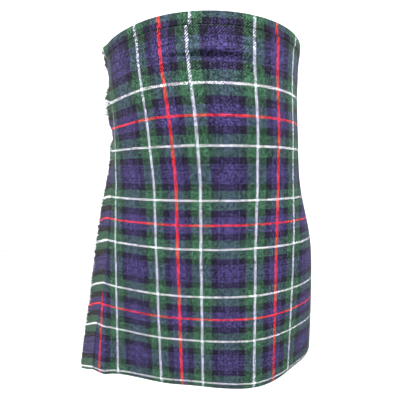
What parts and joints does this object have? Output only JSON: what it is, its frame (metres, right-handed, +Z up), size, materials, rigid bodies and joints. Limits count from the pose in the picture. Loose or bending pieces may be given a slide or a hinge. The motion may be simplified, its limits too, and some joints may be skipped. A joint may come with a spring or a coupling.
{
  "type": "scottish kilt",
  "caption": "Tartan wool kilt in its worn hollow form: flat wrapped aprons in front with a fringed free edge, knife pleats behind, a narrow waistband, and leather straps with buckles.",
  "frame": {"origin": "centre of the waist at the height of the straps, where the wearer's waist holds the kilt", "axes": "+Z up, the wearer faces -Y, +X towards the wearer's left"},
  "size_m": [0.512, 0.3079, 0.61],
  "materials": {
    "tartan": "worsted wool in 2/2 twill, woven tartan",
    "fringe": "loose worsted yarn ends",
    "leather": "black bridle leather, waxed",
    "buckle": "polished nickel plate"
  },
  "bodies": {
    "root": {"over_apron": "tartan", "under_apron": "tartan", "pleated_back": "tartan", "waistband_front": "tartan", "waistband_back": "tartan", "waistband_under": "tartan", "fringe": "fringe", "strap_right": "leather", "strap_left": "leather", "chape_right": "leather", "chape_left": "leather", "buckle_right": "buckle", "buckle_left": "buckle", "prong_right": "buckle", "prong_left": "buckle"}
  },
  "joints": []
}
